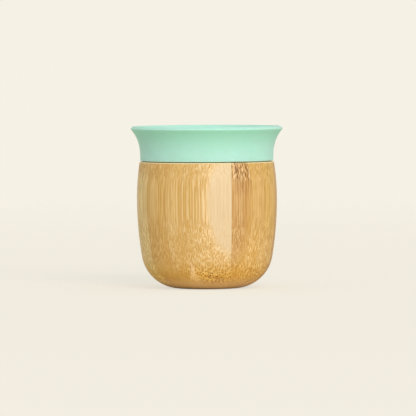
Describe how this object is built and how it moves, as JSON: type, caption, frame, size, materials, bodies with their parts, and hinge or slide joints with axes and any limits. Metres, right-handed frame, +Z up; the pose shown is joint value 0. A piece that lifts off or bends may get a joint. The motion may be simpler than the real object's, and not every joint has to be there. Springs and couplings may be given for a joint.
{
  "type": "bamboo cup",
  "caption": "Small open cup: a bellied shell turned from glued bamboo strips, with a lift-out silicone inner cup that hangs on the rim and flares to a rounded lip.",
  "frame": {"origin": "middle of the base, on the table", "axes": "+Z up along the cup's axis, -Y towards the front, +X to the right"},
  "size_m": [0.076, 0.076, 0.081],
  "materials": {
    "bamboo_pale": "oiled, satin",
    "bamboo_honey": "oiled, satin",
    "bamboo_brown": "oiled, satin",
    "mint_silicone": "matte, moulded"
  },
  "bodies": {
    "bamboo_cup": {"layer_01_middle_strip": "bamboo_pale", "layer_01_right_strip": "bamboo_brown", "layer_02_left_strip": "bamboo_honey", "layer_02_middle_strip": "bamboo_honey", "layer_02_right_strip": "bamboo_honey", "layer_03_left_strip": "bamboo_honey", "layer_03_middle_strip": "bamboo_pale", "layer_03_right_strip": "bamboo_honey", "layer_04_left_strip": "bamboo_honey", "layer_04_middle_strip": "bamboo_honey", "layer_04_right_strip": "bamboo_honey", "layer_05_left_strip": "bamboo_pale", "layer_05_middle_strip": "bamboo_honey", "layer_05_right_strip": "bamboo_brown", "layer_06_left_strip": "bamboo_honey", "layer_06_middle_strip": "bamboo_honey", "layer_06_right_strip": "bamboo_pale", "layer_07_left_strip": "bamboo_honey", "layer_07_middle_strip": "bamboo_brown", "layer_07_right_strip": "bamboo_honey", "layer_08_left_strip": "bamboo_honey", "layer_08_middle_strip": "bamboo_pale", "layer_08_right_strip": "bamboo_honey", "layer_09_left_strip": "bamboo_brown", "layer_09_middle_strip": "bamboo_honey", "layer_09_right_strip": "bamboo_honey", "layer_10_left_strip": "bamboo_pale", "layer_10_middle_strip": "bamboo_honey", "layer_10_right_strip": "bamboo_brown", "layer_11_left_strip": "bamboo_honey", "layer_11_middle_strip": "bamboo_honey", "layer_11_right_strip": "bamboo_pale", "layer_12_left_strip": "bamboo_honey", "layer_12_middle_strip": "bamboo_brown", "layer_12_right_strip": "bamboo_honey", "layer_13_middle_strip": "bamboo_honey", "layer_13_right_strip": "bamboo_pale"},
    "silicone_cup": {"silicone_cup": "mint_silicone"}
  },
  "joints": [
    {"name": "silicone_cup_lift", "type": "slide", "parent": "bamboo_cup", "child": "silicone_cup", "axis": [0, 0, 1], "range_m": [0, 0.065]}
  ]
}
